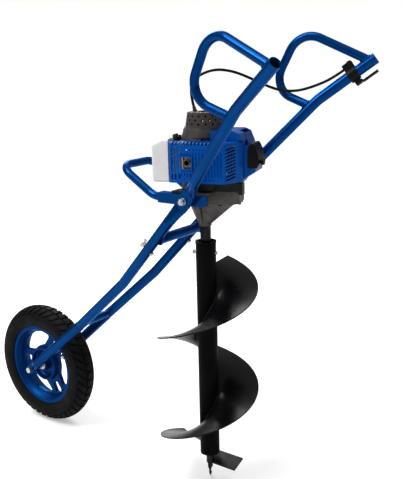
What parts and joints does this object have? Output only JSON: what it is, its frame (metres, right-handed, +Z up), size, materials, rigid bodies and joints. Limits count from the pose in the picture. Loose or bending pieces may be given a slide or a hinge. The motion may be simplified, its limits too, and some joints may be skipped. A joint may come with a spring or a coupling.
{
  "type": "wheeled earth auger",
  "caption": "Petrol earth auger on a single-wheel push frame, with two arms, hand loops, a tilting power head and a spiral auger.",
  "frame": {"origin": "point of the pilot tip, on the ground under the auger's axis", "axes": "+X from the wheel towards the operator, +Y to the side of the throttle arm, +Z up"},
  "size_m": [1.365, 0.5724, 1.3647],
  "materials": {
    "frame_paint": "glossy blue powder coat",
    "zinc_steel": "zinc plated",
    "black_plastic": "moulded black plastic",
    "grey_plastic": "moulded dark grey plastic",
    "button_red": "moulded red plastic",
    "cable_sheath": "black sheath",
    "tyre_rubber": "black rubber",
    "rim_paint": "glossy blue paint",
    "bearing_steel": "ground steel",
    "black_rubber": "black rubber",
    "cast_alloy": "as cast",
    "black_casting": "black painted casting",
    "machined_steel": "machined steel",
    "burnt_steel": "heat darkened steel",
    "cover_plastic": "moulded blue plastic",
    "shroud_plastic": "moulded blue plastic",
    "tank_plastic": "milky blow-moulded plastic",
    "auger_paint": "satin black paint",
    "blade_steel": "dark forged steel"
  },
  "bodies": {
    "frame": {"near_handle_tube": "frame_paint", "far_handle_tube": "frame_paint", "near_handle_loop": "frame_paint", "far_handle_loop": "frame_paint", "near_main_tube": "frame_paint", "far_main_tube": "frame_paint", "near_fork_tube": "frame_paint", "far_fork_tube": "frame_paint", "near_fork_leg": "frame_paint", "far_fork_leg": "frame_paint", "crossbar": "frame_paint", "fork_bridge": "frame_paint", "joint_bolts": "zinc_steel", "wing_nuts": "zinc_steel", "pivot_bolts": "zinc_steel", "hex_nuts": "zinc_steel", "axle_bolt": "zinc_steel", "axle_spacers": "zinc_steel", "throttle_clamp": "black_plastic", "throttle_cable": "cable_sheath"},
    "throttle_lever": {"throttle_lever": "black_plastic"},
    "stop_button": {"stop_button": "button_red"},
    "wheel": {"tyre": "tyre_rubber", "rim": "rim_paint", "wheel_bearings": "bearing_steel", "valve_stem": "black_rubber"},
    "drive_unit": {"near_cradle_rail": "frame_paint", "far_cradle_rail": "frame_paint", "bumper_bar": "frame_paint", "cradle_plate": "cast_alloy", "gearbox_case": "cast_alloy", "gearbox_nose": "cast_alloy", "output_bearings": "bearing_steel", "gearbox_bolts": "machined_steel", "clutch_housing": "black_casting", "crankcase": "cast_alloy", "engine_cylinder": "cast_alloy", "spark_plug": "zinc_steel", "muffler": "burnt_steel", "cylinder_cover": "cover_plastic", "fan_shroud": "shroud_plastic", "air_filter_case": "black_plastic", "carburettor": "cast_alloy", "recoil_housing": "grey_plastic", "fuel_tank": "tank_plastic"},
    "fuel_cap": {"fuel_cap": "black_plastic"},
    "filter_knob": {"filter_knob": "black_plastic"},
    "starter_grip": {"starter_grip": "black_rubber"},
    "piston": {"piston": "cast_alloy"},
    "lay_gear": {"lay_gear": "machined_steel"},
    "clutch_drum": {"clutch_drum": "machined_steel"},
    "crank": {"crankshaft": "machined_steel", "clutch_shoes": "machined_steel", "flywheel": "cast_alloy"},
    "auger": {"output_shaft": "machined_steel", "auger_stem": "auger_paint", "auger_flight": "auger_paint", "auger_blade": "blade_steel", "pilot_tip": "blade_steel", "drive_pin": "zinc_steel"}
  },
  "joints": [
    {"name": "wheel_spin", "type": "hinge", "parent": "frame", "child": "wheel", "pos_m": [-0.733, 0, 0.217], "axis": [0, 1, 0], "continuous": true},
    {"name": "head_tilt", "type": "hinge", "parent": "frame", "child": "drive_unit", "pos_m": [0.008, 0, 0.908], "axis": [0, 1, 0], "range_deg": [-17, 5]},
    {"name": "throttle_squeeze", "type": "hinge", "parent": "frame", "child": "throttle_lever", "pos_m": [0.3619, 0.24811, 1.22259], "axis": [0.2386, -0.9534, 0.1845], "range_deg": [0, 10], "stiffness_Nm_per_rad": 2, "springref_deg": -5.16},
    {"name": "stop_press", "type": "slide", "parent": "frame", "child": "stop_button", "axis": [0.6117, 0, -0.7911], "range_m": [0, 0.003], "stiffness_N_per_m": 600, "springref_m": -0.001},
    {"name": "fuel_cap_turn", "type": "hinge", "parent": "drive_unit", "child": "fuel_cap", "pos_m": [-0.05705, -0.06136, 1.077], "axis": [0.9283, 0.2838, 0.2402], "continuous": true},
    {"name": "filter_knob_turn", "type": "hinge", "parent": "drive_unit", "child": "filter_knob", "pos_m": [0.17173, 0.03786, 1.012], "axis": [0.9563, 0.2924, 0], "continuous": true},
    {"name": "starter_pull", "type": "slide", "parent": "drive_unit", "child": "starter_grip", "axis": [-0.2924, 0.9563, 0], "range_m": [0, 0.5]},
    {"name": "piston_slide", "type": "slide", "parent": "drive_unit", "child": "piston", "axis": [0.9563, 0.2924, 0], "range_m": [0, 0.022]},
    {"name": "auger_spin", "type": "hinge", "parent": "drive_unit", "child": "auger", "pos_m": [0, 0, 0.735], "axis": [0, 0, 1], "continuous": true},
    {"name": "lay_gear_spin", "type": "hinge", "parent": "drive_unit", "child": "lay_gear", "pos_m": [0.04303, 0.01316, 0.915], "axis": [0, 0, 1], "continuous": true},
    {"name": "clutch_drum_spin", "type": "hinge", "parent": "drive_unit", "child": "clutch_drum", "pos_m": [0, 0, 0.93], "axis": [0, 0, 1], "continuous": true},
    {"name": "crank_spin", "type": "hinge", "parent": "drive_unit", "child": "crank", "pos_m": [0, 0, 1.015], "axis": [0, 0, 1], "continuous": true}
  ],
  "couplings": [
    {"joint": "lay_gear_spin", "follows": "auger_spin", "ratio": -4},
    {"joint": "clutch_drum_spin", "follows": "auger_spin", "ratio": 16}
  ]
}
